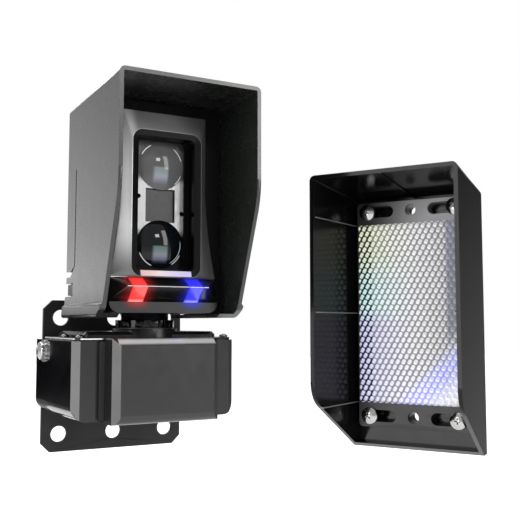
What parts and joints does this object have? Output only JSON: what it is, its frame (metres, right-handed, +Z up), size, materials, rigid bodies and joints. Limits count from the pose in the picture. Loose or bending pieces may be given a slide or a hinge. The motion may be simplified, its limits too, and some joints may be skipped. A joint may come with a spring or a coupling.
{
  "type": "reflective photoelectric gate sensor",
  "caption": "Hooded photoelectric gate sensor head on a tilting, swivelling wall bracket, with its hooded prismatic reflector standing beside it.",
  "frame": {"origin": "centre of the wall plate's hole pattern, on its rear face", "axes": "+Y into the wall, +Z up, +X to the right as seen from in front of the lenses"},
  "size_m": [0.2239, 0.1605, 0.1902],
  "materials": {
    "black_steel": "satin powder coat",
    "bright_screw": "nickel plated",
    "zinc_steel": "zinc plated",
    "gloss_black": "gloss",
    "matt_black": "fine texture",
    "hood_grey": "satin",
    "cover_grey": "satin",
    "bezel_silver": "satin metallic lacquer",
    "carrier_silver": "bright metallic",
    "neck_metal": "dark anodised",
    "lens_glass": "polished",
    "black_rubber": "matt",
    "nylon": "natural",
    "red_pipe": "translucent",
    "blue_pipe": "translucent",
    "board_green": "solder mask",
    "relay_blue": "moulded",
    "terminal_green": "moulded",
    "diode_clear": "clear",
    "prism": "clear acrylic prisms"
  },
  "bodies": {
    "root": {"wall_plate": "black_steel", "tilt_screws": "bright_screw", "star_washers": "zinc_steel", "tilt_nuts": "zinc_steel", "reflector_hood": "hood_grey", "reflector_tray": "matt_black", "prism_panel": "prism", "reflector_screws": "bright_screw"},
    "cradle": {"cradle": "gloss_black", "rear_panel": "matt_black", "cradle_lid": "matt_black", "lid_screws": "bright_screw", "front_cover": "cover_grey", "front_cover_gasket": "black_rubber", "pivot_bushings": "nylon", "cable_grommet": "black_rubber", "terminal_board": "board_green", "terminal_board_screws": "zinc_steel", "terminal_block": "terminal_green", "terminal_screws": "zinc_steel", "friction_washer": "nylon", "spring_washer": "zinc_steel"},
    "head": {"swivel_post": "neck_metal", "swivel_nut": "zinc_steel", "head_case": "matt_black", "case_screws": "zinc_steel", "case_gasket": "black_rubber", "face_plate": "matt_black", "bezel": "bezel_silver", "window_frame": "gloss_black", "lens_carrier": "carrier_silver", "emitter_lens": "lens_glass", "receiver_lens": "lens_glass", "lens_tubes": "matt_black", "emitter_led": "diode_clear", "receiver_diode": "diode_clear", "status_leds": "diode_clear", "main_board": "board_green", "board_screws": "zinc_steel", "relay": "relay_blue", "indicator_bar": "gloss_black", "red_light_pipe": "red_pipe", "blue_light_pipe": "blue_pipe", "lower_trim": "bezel_silver"},
    "hood": {"sensor_hood": "hood_grey"}
  },
  "joints": [
    {"name": "cradle_tilt", "type": "hinge", "parent": "root", "child": "cradle", "pos_m": [0, -0.022, 0.015], "axis": [-1, 0, 0], "range_deg": [-5, 10]},
    {"name": "head_swivel", "type": "hinge", "parent": "cradle", "child": "head", "pos_m": [0, -0.054, 0.03], "axis": [0, 0, -1], "range_deg": [-30, 90]},
    {"name": "hood_slide", "type": "slide", "parent": "head", "child": "hood", "axis": [0, -1, 0], "range_m": [0, 0.04]}
  ]
}
